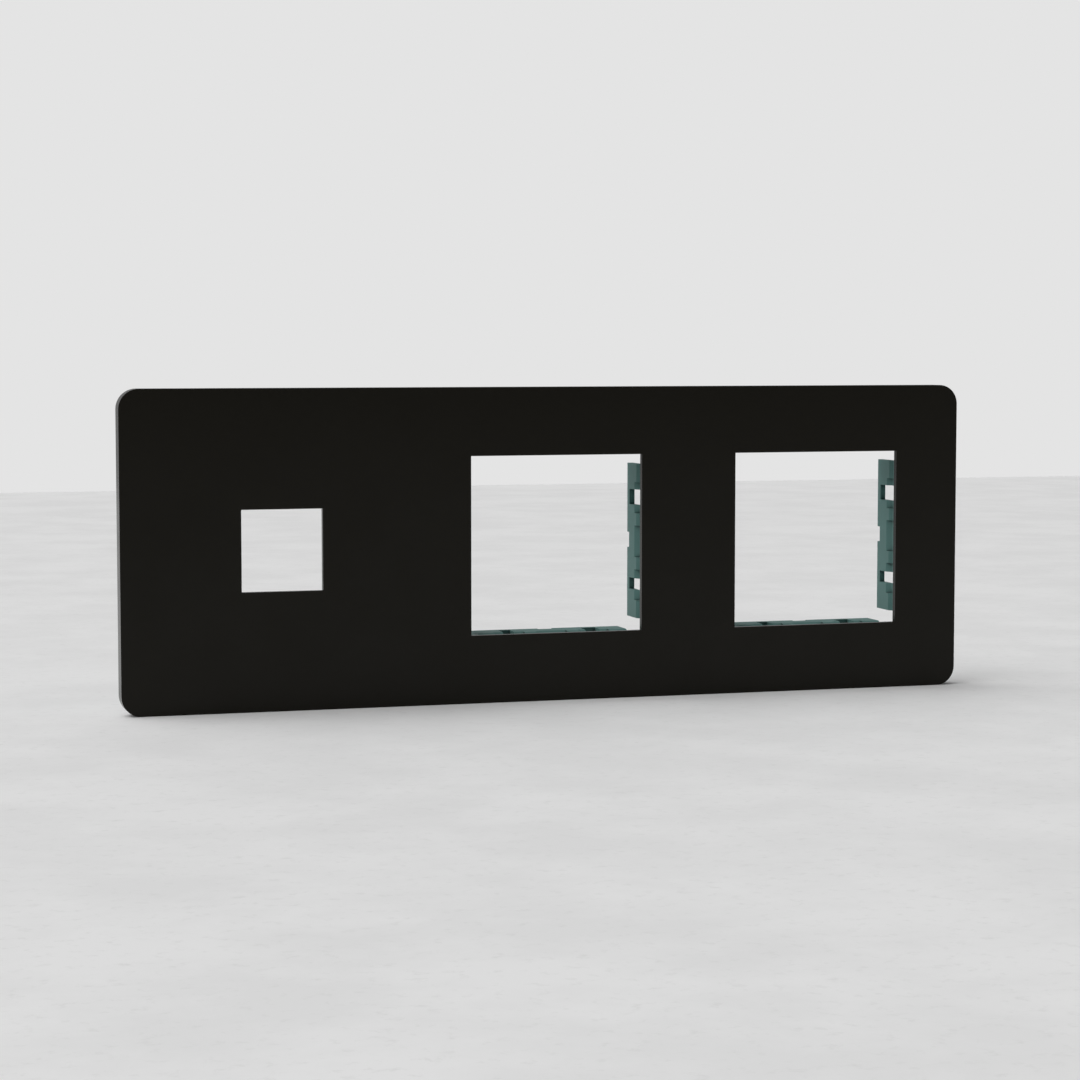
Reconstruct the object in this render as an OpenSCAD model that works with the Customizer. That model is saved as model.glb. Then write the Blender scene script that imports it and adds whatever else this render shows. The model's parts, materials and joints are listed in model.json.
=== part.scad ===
// Three-gang wall plate cover: a flat black face plate with two module openings and one small
// outlet, and behind each gang a moulded clip frame with four springy clip walls.
// The plate stands on its long lower edge: +X runs right, +Z up, and the visible face looks
// towards -Y. The origin is at the bottom centre of the whole cover. Lengths are millimetres.

/* [Face plate] */
// Width of the plate
plate_w = 222; // [216:1:240]
// Height of the plate
plate_h = 80; // [76:1:90]
// Radius of the plate's outer corners
corner_r = 5; // [3:0.5:8]
// Thickness of the visible face
face_t = 1.5; // [1.2:0.1:1.8]
// Depth of the plate at its outer rim, from the visible face to the wall
rim_depth = 5; // [5:0.1:6]
// Wall thickness of the outer rim
rim_t = 1.6; // [1.2:0.1:2]

/* [Openings] */
// Distance from the centre of one gang to the next
gang_pitch = 71; // [69:0.5:73]
// Side of the square module openings
opening = 45.4; // [45:0.1:46]
// Side of the small square outlet
outlet = 20.4; // [16:0.1:26]

/* [Clip walls] */
// Depth of the clip walls' rear edges behind the visible face
clip_depth = 11.7; // [11.2:0.1:13]
// Length of a clip wall along its side of the opening
clip_len = 40; // [38:0.5:42]
// Thickness of a clip wall
clip_t = 1.4; // [1.3:0.1:1.6]
// Depth of the three pockets in a clip wall's inner face
pocket = 0.9; // [0.7:0.1:1]
// Depth of the long groove at the foot of a clip wall's inner face
groove = 0.6; // [0.3:0.1:0.7]
// Slope at which the pockets and the groove run out, from the inner face
ramp_angle = 30; // [25:5:45]

/* [Clip frames] */
// Outer side of the square clip frame
frame_side = 61; // [59:0.5:66]
// Thickness of the clip frame
frame_t = 2; // [1.6:0.1:2]
// Diameter of the stakes that hold a clip frame
stake_d = 2.4; // [2:0.1:2.8]

/* [Hidden] */
$fn = 64;

// The gangs' centres along X, counted from the left as seen from the front
GANG_1 = -gang_pitch;
GANG_2 = 0;
GANG_3 = gang_pitch;

// Turns of the right-hand clip wall, about the gang's centre, that make the four walls
RIGHT_SIDE = 0;
BOTTOM_SIDE = 90;
LEFT_SIDE = 180;
TOP_SIDE = 270;

front_y = -clip_depth / 2;
centre_z = plate_h / 2;
overlap = 0.5; // how far a cutting shape runs past what it cuts

// Clip walls, from their inner face at the edge of the opening
clip_inner = opening / 2;
clip_outer = clip_inner + clip_t;
foot_gap = 0.1; // between the plate's back and a clip wall's foot
hinge_w = 0.35; // width of the thin web that joins a clip wall to its frame
hinge_t = 0.4; // thickness of that web
hinge_gap = 0.1; // between the web's end and the frame
foot_depth = face_t + foot_gap;

// Windows and pockets of a clip wall: [lower end, upper end] along the wall from its middle
WINDOWS = [[9.3, 13.3], [-12.8, -9.8]];
POCKETS = [[7.2, 15.2], [-4.2, 4], [-15.4, -7.4]];
window_rear = 10; // depth of the windows' rear ends behind the visible face
pocket_rear = 6; // the same for the pockets, where their ramps run out
groove_rear = 4.5; // and for the groove
notch_half = 2; // half the length of the notch in the rear edge
notch_d = 1.45; // depth of that notch

// Clip frames
frame_inner = clip_outer + hinge_w + hinge_gap;
frame_r = 4;
frame_rear = face_t + frame_t;
window_relief = 0.8; // how much wider a frame's slot is than the window in front of it
relief_d = 1.6; // how deep that slot cuts into the frame

// Stakes: pins on the plate's back with formed heads, one near each corner of a frame
stake_at = (frame_inner + frame_side / 2) / 2;
stake_clear = 0.15;
stake_head_d = 4.2;
stake_head_t = 1.1;
stake_head_r = 0.5;

// Stiffening ribs on the plate's back
rib_t = 1.2;
rib_depth = 4;
rib_gap = 0.4; // between a rib and a clip frame

// A flat outline, drawn with x to the right and y up, made solid from one depth to another
module slab(from, to) {
    translate([0, front_y + to, 0])
        rotate([90, 0, 0])
            linear_extrude(to - from)
                children();
}

module rounded_square(w, h, r) {
    for (x = [-1, 1], y = [-1, 1])
        translate([x * (w / 2 - r), y * (h / 2 - r)])
            circle(r);
    square([w - 2 * r, h], center = true);
    square([w, h - 2 * r], center = true);
}

module plate_outline(inset) {
    translate([0, centre_z])
        rounded_square(plate_w - 2 * inset, plate_h - 2 * inset, corner_r - inset);
}

// Places a shape drawn about a gang's own centre
module at_gang(x) {
    translate([x, centre_z])
        children();
}

module openings_outline() {
    for (x = [GANG_2, GANG_3])
        at_gang(x)
            square(opening, center = true);
    at_gang(GANG_1)
        square(outlet, center = true);
}

module stake_places() {
    for (x = [-1, 1], y = [-1, 1])
        translate([x * stake_at, y * stake_at])
            children();
}

// The formed head of a stake: a low button with a rounded rim
module stake_head() {
    translate([0, front_y + frame_rear + stake_head_t, 0])
        rotate([90, 0, 0])
            rotate_extrude() {
                square([stake_head_d / 2 - stake_head_r, stake_head_t]);
                translate([0, stake_head_r])
                    square([stake_head_d / 2, stake_head_t - stake_head_r]);
                translate([stake_head_d / 2 - stake_head_r, stake_head_r])
                    circle(stake_head_r);
            }
}

module stakes() {
    for (gang = [GANG_1, GANG_2, GANG_3]) {
        slab(face_t - overlap, frame_rear + stake_head_t / 2)
            at_gang(gang)
                stake_places()
                    circle(d = stake_d);
        for (x = [-1, 1], z = [-1, 1])
            translate([gang + x * stake_at, 0, centre_z + z * stake_at])
                stake_head();
    }
}

// Upright stiffening ribs between the gangs and beside the outer ones
module ribs() {
    frame_edge = frame_side / 2 + rib_gap + rib_t / 2;
    slab(face_t - overlap, rib_depth)
        intersection() {
            for (x = [GANG_1 - frame_edge, GANG_1 / 2, GANG_3 / 2, GANG_3 + frame_edge])
                translate([x, centre_z])
                    square([rib_t, plate_h], center = true);
            plate_outline(rim_t / 2);
        }
}

module face_plate() {
    color([0.1, 0.1, 0.09]) {
        difference() {
            slab(0, rim_depth)
                plate_outline(0);
            slab(face_t, rim_depth + overlap)
                plate_outline(rim_t);
            slab(-overlap, rim_depth)
                openings_outline();
        }
        stakes();
        ribs();
    }
}

// A flat ring on the plate's back. Slots in its inner edge line up with the clip walls' windows.
module clip_frame(gang) {
    color([0.36, 0.5, 0.48])
        slab(face_t, frame_rear)
            at_gang(gang)
                difference() {
                    rounded_square(frame_side, frame_side, frame_r);
                    square(2 * frame_inner, center = true);
                    for (turn = [RIGHT_SIDE, BOTTOM_SIDE, LEFT_SIDE, TOP_SIDE], window = WINDOWS)
                        rotate(-turn)
                            translate([frame_inner - overlap, window[0] - window_relief / 2])
                                square([relief_d + overlap, window[1] - window[0] + window_relief]);
                    stake_places()
                        circle(d = stake_d + 2 * stake_clear);
                }
}

// A strip of the right-hand clip wall's plan, from one end to another along the wall and from
// one distance to another outwards from the gang's centre
module wall_strip(ends, inner, outer) {
    translate([inner, ends[0]])
        square([outer - inner, ends[1] - ends[0]]);
}

// A recess in the inner face, open at the wall's foot. It ends in a ramp that meets the inner
// face at the rear depth.
module ramped_recess(ends, recess, rear) {
    translate([clip_inner, front_y, ends[0]])
        linear_extrude(ends[1] - ends[0])
            polygon([
                [-overlap, 0],
                [recess, 0],
                [recess, rear - recess / tan(ramp_angle)],
                [0, rear],
                [-overlap, rear]
            ]);
}

// The clip wall on the right of a gang, drawn about the gang's centre
module right_hand_clip() {
    whole = [-clip_len / 2, clip_len / 2];
    difference() {
        union() {
            slab(foot_depth, clip_depth)
                wall_strip(whole, clip_inner, clip_outer);
            slab(foot_depth, foot_depth + hinge_t)
                wall_strip(whole, clip_outer - overlap, clip_outer + hinge_w);
        }
        for (window = WINDOWS)
            slab(0, window_rear)
                wall_strip(window, clip_inner - overlap, clip_outer + hinge_w + overlap);
        for (ends = POCKETS)
            ramped_recess(ends, pocket, pocket_rear);
        ramped_recess([-clip_len, clip_len], groove, groove_rear);
        slab(clip_depth - notch_d, clip_depth + overlap)
            wall_strip([-notch_half, notch_half], clip_inner - overlap, clip_outer + overlap);
    }
}

module clip_wall(gang, turn) {
    color([0.36, 0.5, 0.48])
        translate([gang, 0, centre_z])
            rotate([0, turn, 0])
                right_hand_clip();
}

face_plate();
clip_frame(GANG_1);  // gang_1_clip_frame
clip_frame(GANG_2);  // gang_2_clip_frame
clip_frame(GANG_3);  // gang_3_clip_frame
clip_wall(GANG_1, TOP_SIDE);  // gang_1_top_clip
clip_wall(GANG_1, BOTTOM_SIDE);  // gang_1_bottom_clip
clip_wall(GANG_1, LEFT_SIDE);  // gang_1_left_clip
clip_wall(GANG_1, RIGHT_SIDE);  // gang_1_right_clip
clip_wall(GANG_2, TOP_SIDE);  // gang_2_top_clip
clip_wall(GANG_2, BOTTOM_SIDE);  // gang_2_bottom_clip
clip_wall(GANG_2, LEFT_SIDE);  // gang_2_left_clip
clip_wall(GANG_2, RIGHT_SIDE);  // gang_2_right_clip
clip_wall(GANG_3, TOP_SIDE);  // gang_3_top_clip
clip_wall(GANG_3, BOTTOM_SIDE);  // gang_3_bottom_clip
clip_wall(GANG_3, LEFT_SIDE);  // gang_3_left_clip
clip_wall(GANG_3, RIGHT_SIDE);  // gang_3_right_clip
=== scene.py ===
"""The looks of the wall plate cover: materials, softened edges, floor, sky and camera.

Lengths are metres, in the CAD frame: +X right, +Y from the visible face towards the wall, +Z up,
and the floor at Z = 0.
"""

import json
import math

import bmesh
import bpy
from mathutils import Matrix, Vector


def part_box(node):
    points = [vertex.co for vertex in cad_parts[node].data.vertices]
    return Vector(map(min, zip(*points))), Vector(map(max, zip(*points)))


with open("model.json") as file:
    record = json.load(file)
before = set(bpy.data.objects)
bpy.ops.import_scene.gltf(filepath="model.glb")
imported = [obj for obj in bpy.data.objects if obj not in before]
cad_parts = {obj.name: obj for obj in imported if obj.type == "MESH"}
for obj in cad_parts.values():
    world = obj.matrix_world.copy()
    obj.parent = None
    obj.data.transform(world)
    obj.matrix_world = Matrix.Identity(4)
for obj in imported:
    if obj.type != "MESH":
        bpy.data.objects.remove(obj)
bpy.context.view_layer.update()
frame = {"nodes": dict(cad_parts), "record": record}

MM = 0.001
NOISE_LOW, NOISE_HIGH = 0.3, 0.7  # nearly all of a noise texture's values lie between these

# Colours, as linear red, green and blue
PLATE_TONES = [(0.0076, 0.0065, 0.0036), (0.0091, 0.0078, 0.0045)]
PLATE_EDGE = (0.014, 0.013, 0.012)
CLIP_TONES = [(0.093, 0.192, 0.179), (0.108, 0.223, 0.208)]
CLIP_EDGE = (0.13, 0.25, 0.24)
# painted shade: the colour that the clip's recesses and corners are darkened towards
CLIP_RECESS_SHADE = (0.025, 0.055, 0.052)
FLOOR_TONES = [(0.813, 0.813, 0.813), (0.862, 0.862, 0.862)]
FLOOR_SPECK = (0.72, 0.72, 0.715)


# Node helpers

def new_material(name):
    """A material with an empty node tree, its Principled shader and its output already joined."""
    material = bpy.data.materials.new(name)
    material.use_nodes = True
    tree = material.node_tree
    tree.nodes.clear()
    output = tree.nodes.new("ShaderNodeOutputMaterial")
    shader = tree.nodes.new("ShaderNodeBsdfPrincipled")
    tree.links.new(shader.outputs["BSDF"], output.inputs["Surface"])
    return material, tree, shader


def add_node(tree, kind, **values):
    """A node of that kind. Each value sets an input socket if one has that name, or else a property."""
    node = tree.nodes.new(kind)
    for name, value in values.items():
        socket = name.replace("_", " ").capitalize()
        if socket in node.inputs:
            node.inputs[socket].default_value = value
        else:
            setattr(node, name, value)
    return node


def noise(tree, size, detail, roughness=0.5, stretch=(1, 1, 1)):
    """Noise in the object's own space, whose blobs are about `size` metres across."""
    place = tree.nodes.new("ShaderNodeTexCoord")
    scale = tree.nodes.new("ShaderNodeMapping")
    scale.inputs["Scale"].default_value = [1 / (size * s) for s in stretch]
    texture = add_node(tree, "ShaderNodeTexNoise", scale=1.0, detail=detail, roughness=roughness)
    tree.links.new(place.outputs["Object"], scale.inputs["Vector"])
    tree.links.new(scale.outputs["Vector"], texture.inputs["Vector"])
    return texture.outputs["Fac"]


def ramp(tree, source, low, high, bottom, top):
    """Maps source from low..high to bottom..top, and holds it at those ends. All four are numbers."""
    node = tree.nodes.new("ShaderNodeMapRange")
    for name, value in (("From Min", low), ("From Max", high), ("To Min", bottom), ("To Max", top)):
        node.inputs[name].default_value = value
    tree.links.new(source, node.inputs["Value"])
    return node.outputs["Result"]


def add_values(tree, first, second):
    """The sum of two sockets' values."""
    node = add_node(tree, "ShaderNodeMath", operation="ADD")
    tree.links.new(first, node.inputs[0])
    tree.links.new(second, node.inputs[1])
    return node.outputs[0]


def mix_colours(tree, factor, first, second):
    """A colour between first and second. Each is a colour or a socket."""
    node = tree.nodes.new("ShaderNodeMix")
    node.data_type = "RGBA"
    tree.links.new(factor, node.inputs["Factor"])
    for name, value in (("A", first), ("B", second)):
        socket = [s for s in node.inputs if s.name == name and s.type == "RGBA"][0]
        if isinstance(value, bpy.types.NodeSocket):
            tree.links.new(value, socket)
        else:
            socket.default_value = (*value, 1)
    return [s for s in node.outputs if s.type == "RGBA"][0]


def bump(tree, shader, height, depth, strength):
    """Joins a height between 0 and 1 to the shader's normal, as relief `depth` metres deep."""
    node = add_node(tree, "ShaderNodeBump", strength=strength, distance=depth)
    tree.links.new(height, node.inputs["Height"])
    tree.links.new(node.outputs["Normal"], shader.inputs["Normal"])


def edge_mask(tree, radius):
    """About 1 within `radius` of a sharp edge and 0 on the flats, from how far a rounded normal turns."""
    flat, sharp = 0.995, 0.85  # cosines of that turn
    rounded = add_node(tree, "ShaderNodeBevel", samples=4, radius=radius)
    plain = tree.nodes.new("ShaderNodeNewGeometry")
    turn = add_node(tree, "ShaderNodeVectorMath", operation="DOT_PRODUCT")
    tree.links.new(rounded.outputs["Normal"], turn.inputs[0])
    tree.links.new(plain.outputs["Normal"], turn.inputs[1])
    return ramp(tree, turn.outputs["Value"], flat, sharp, 0.0, 1.0)


def recess_shade_mask(tree, reach):
    """1 deep in a corner or recess and 0 in the open, from how much lies within `reach` of the surface. It
    places painted shade, not a real mark.
    """
    deep, free = 0.45, 0.93  # how much of the view within reach is clear
    clear_view = add_node(tree, "ShaderNodeAmbientOcclusion", samples=6, distance=reach)
    return ramp(tree, clear_view.outputs["AO"], deep, free, 1.0, 0.0)


def rear_mask(tree):
    """1 on surfaces that look back towards the wall, and 0 on the others."""
    sideways, rearwards = 0.3, 0.7  # how much of the normal lies along Y
    surface = tree.nodes.new("ShaderNodeNewGeometry")
    parts = tree.nodes.new("ShaderNodeSeparateXYZ")
    tree.links.new(surface.outputs["Normal"], parts.inputs["Vector"])
    return ramp(tree, parts.outputs["Y"], sideways, rearwards, 0.0, 1.0)


# Materials

def black_plate_material():
    """Smooth satin black: almost no colour face on, and a clear reflection at grazing angles.
    The back is left matt, as moulded."""
    material, tree, shader = new_material("face_black")
    cloud = noise(tree, 30 * MM, detail=3)
    tone = mix_colours(tree, cloud, *PLATE_TONES)
    worn = mix_colours(tree, edge_mask(tree, 0.12 * MM), tone, PLATE_EDGE)
    tree.links.new(worn, shader.inputs["Base Color"])
    smudge = noise(tree, 12 * MM, detail=5, roughness=0.6)
    satin = ramp(tree, smudge, NOISE_LOW, NOISE_HIGH, 0.20, 0.27)
    matt_back = ramp(tree, rear_mask(tree), 0.0, 1.0, 0.0, 0.25)
    tree.links.new(add_values(tree, satin, matt_back), shader.inputs["Roughness"])
    shader.inputs["Specular IOR Level"].default_value = 0.17
    bump(tree, shader, noise(tree, 0.35 * MM, detail=2), 0.002 * MM, strength=0.4)
    return material


def teal_clip_material():
    """Matt grey-teal moulded plastic with a fine spark-eroded grain, and painted shade darkening its
    recesses.
    """
    material, tree, shader = new_material("clip_teal")
    flow = noise(tree, 6 * MM, detail=3, stretch=(1.6, 1, 1.6))
    tone = mix_colours(tree, flow, *CLIP_TONES)
    worn = mix_colours(tree, edge_mask(tree, 0.1 * MM), tone, CLIP_EDGE)
    # painted shade: corners and recesses darkened from an ambient-occlusion mask, standing in for shadow
    recess_shaded = mix_colours(tree, recess_shade_mask(tree, 2.2 * MM), worn, CLIP_RECESS_SHADE)
    tree.links.new(recess_shaded, shader.inputs["Base Color"])
    grain = noise(tree, 0.12 * MM, detail=3, roughness=0.7)
    tree.links.new(ramp(tree, grain, NOISE_LOW, NOISE_HIGH, 0.42, 0.55), shader.inputs["Roughness"])
    shader.inputs["Specular IOR Level"].default_value = 0.25
    bump(tree, shader, grain, 0.006 * MM, strength=0.5)
    return material


def floor_material():
    """Pale stone-like floor with soft mottling and fine specks."""
    material, tree, shader = new_material("pale_floor")
    cloud = ramp(tree, noise(tree, 45 * MM, detail=9, roughness=0.64), 0.4, 0.6, 0.0, 1.0)
    mottled = mix_colours(tree, cloud, *FLOOR_TONES)
    specks = ramp(tree, noise(tree, 3 * MM, detail=3, roughness=0.7), 0.56, 0.75, 0.0, 0.6)
    tree.links.new(mix_colours(tree, specks, mottled, FLOOR_SPECK), shader.inputs["Base Color"])
    shader.inputs["Roughness"].default_value = 0.6
    shader.inputs["Specular IOR Level"].default_value = 0.2
    return material


# Edges and materials of the CAD nodes

EDGE_SOFTNESS = 0.04 * MM


def soften_edges(piece, width):
    """Rounds the crisp edges a little, as moulding does, and keeps the flats flat."""
    bevel = piece.modifiers.new("soft_edges", "BEVEL")
    bevel.width = width
    bevel.segments = 2
    bevel.limit_method = "ANGLE"
    bevel.angle_limit = math.radians(40)
    bevel.harden_normals = True


def dress(material_of_slot):
    """Gives every CAD node its slot's material and softened edges."""
    slots = {row["node"]: row["material_slot"] for row in frame["record"]["subparts"]}
    for name, piece in frame["nodes"].items():
        piece.data.materials.clear()
        piece.data.materials.append(material_of_slot[slots[name]])
        soften_edges(piece, EDGE_SOFTNESS)


# Floor

FLOOR_BEHIND = 1.0  # how far the floor runs behind the cover before its edge shows as the horizon
FLOOR_AROUND = 4.0  # how far it runs to the front and to each side


def build_floor(material):
    """One flat sheet that the cover stands on and that isn't part of it."""
    mesh = bmesh.new()
    corners = [
        (-FLOOR_AROUND, -FLOOR_AROUND), (FLOOR_AROUND, -FLOOR_AROUND),
        (FLOOR_AROUND, FLOOR_BEHIND), (-FLOOR_AROUND, FLOOR_BEHIND),
    ]
    mesh.faces.new([mesh.verts.new((x, y, 0)) for x, y in corners])
    data = bpy.data.meshes.new("floor")
    mesh.to_mesh(data)
    mesh.free()
    data.materials.append(material)
    floor = bpy.data.objects.new("floor", data)
    bpy.context.scene.collection.objects.link(floor)


# Sky

BACKDROP = 0.776  # linear grey that the camera sees past the floor
KEY_ELEVATION = math.radians(60)
SKY_LOBES = [  # where soft light comes from, how tightly it is gathered there, and its brightness
    ((-math.cos(KEY_ELEVATION), 0, math.sin(KEY_ELEVATION)), 6, 3.6),
    ((0, 1, 0), 2, 0.45),
    ((1, 0, 0), 2, 0.2),
]


def sky_lobe(tree, direction, tightness, brightness, total):
    """Adds to total a lobe of light that fades with a power of the cosine from its direction."""
    ray = tree.nodes.new("ShaderNodeTexCoord")
    along = add_node(tree, "ShaderNodeVectorMath", operation="DOT_PRODUCT")
    along.inputs[1].default_value = direction
    ahead = add_node(tree, "ShaderNodeMath", operation="MAXIMUM")
    ahead.inputs[1].default_value = 0
    lobe = add_node(tree, "ShaderNodeMath", operation="POWER")
    lobe.inputs[1].default_value = tightness
    summed = add_node(tree, "ShaderNodeMath", operation="MULTIPLY_ADD")
    summed.inputs[1].default_value = brightness
    summed.inputs[2].default_value = 0
    tree.links.new(ray.outputs["Generated"], along.inputs[0])
    tree.links.new(along.outputs["Value"], ahead.inputs[0])
    tree.links.new(ahead.outputs[0], lobe.inputs[0])
    tree.links.new(lobe.outputs[0], summed.inputs[0])
    if total is not None:
        tree.links.new(total, summed.inputs[2])
    return summed.outputs[0]


def build_world():
    """The camera sees a plain pale backdrop. Everything else is lit by the lobes of the sky."""
    world = bpy.data.worlds.new("studio")
    bpy.context.scene.world = world
    world.use_nodes = True
    tree = world.node_tree
    tree.nodes.clear()
    output = tree.nodes.new("ShaderNodeOutputWorld")
    seen = add_node(tree, "ShaderNodeBackground", color=(BACKDROP, BACKDROP, BACKDROP, 1))
    light = tree.nodes.new("ShaderNodeBackground")
    total = None
    for direction, tightness, brightness in SKY_LOBES:
        total = sky_lobe(tree, direction, tightness, brightness, total)
    tree.links.new(total, light.inputs["Color"])
    path = tree.nodes.new("ShaderNodeLightPath")
    choose = tree.nodes.new("ShaderNodeMixShader")
    tree.links.new(path.outputs["Is Camera Ray"], choose.inputs["Fac"])
    tree.links.new(light.outputs["Background"], choose.inputs[1])
    tree.links.new(seen.outputs["Background"], choose.inputs[2])
    tree.links.new(choose.outputs["Shader"], output.inputs["Surface"])


# Camera

CAMERA_OFFSET = Vector((-0.1971, -0.6387, 0.0504))  # from the middle of the visible face
CAMERA_YAW = math.radians(16.77)  # to the right of straight at the plate
CAMERA_PITCH = math.radians(4.22)  # downwards
CAMERA_LENS = 87.8  # millimetres, as is the sensor's width
CAMERA_SENSOR = 36


def build_camera():
    """Stands the camera to the left of the cover and a little above it, aimed to the right and down."""
    face_low, face_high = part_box("face_plate")
    face_centre = Vector(((face_low.x + face_high.x) / 2, face_low.y, (face_low.z + face_high.z) / 2))
    data = bpy.data.cameras.new("camera")
    data.lens = CAMERA_LENS
    data.sensor_width = CAMERA_SENSOR
    camera = bpy.data.objects.new("camera", data)
    camera.location = face_centre + CAMERA_OFFSET
    camera.rotation_euler = (math.pi / 2 - CAMERA_PITCH, 0, -CAMERA_YAW)
    bpy.context.scene.collection.objects.link(camera)
    bpy.context.scene.camera = camera


dress({"face_black": black_plate_material(), "clip_teal": teal_clip_material()})
build_floor(floor_material())
build_world()
build_camera()
bpy.context.scene.view_settings.view_transform = "Standard"
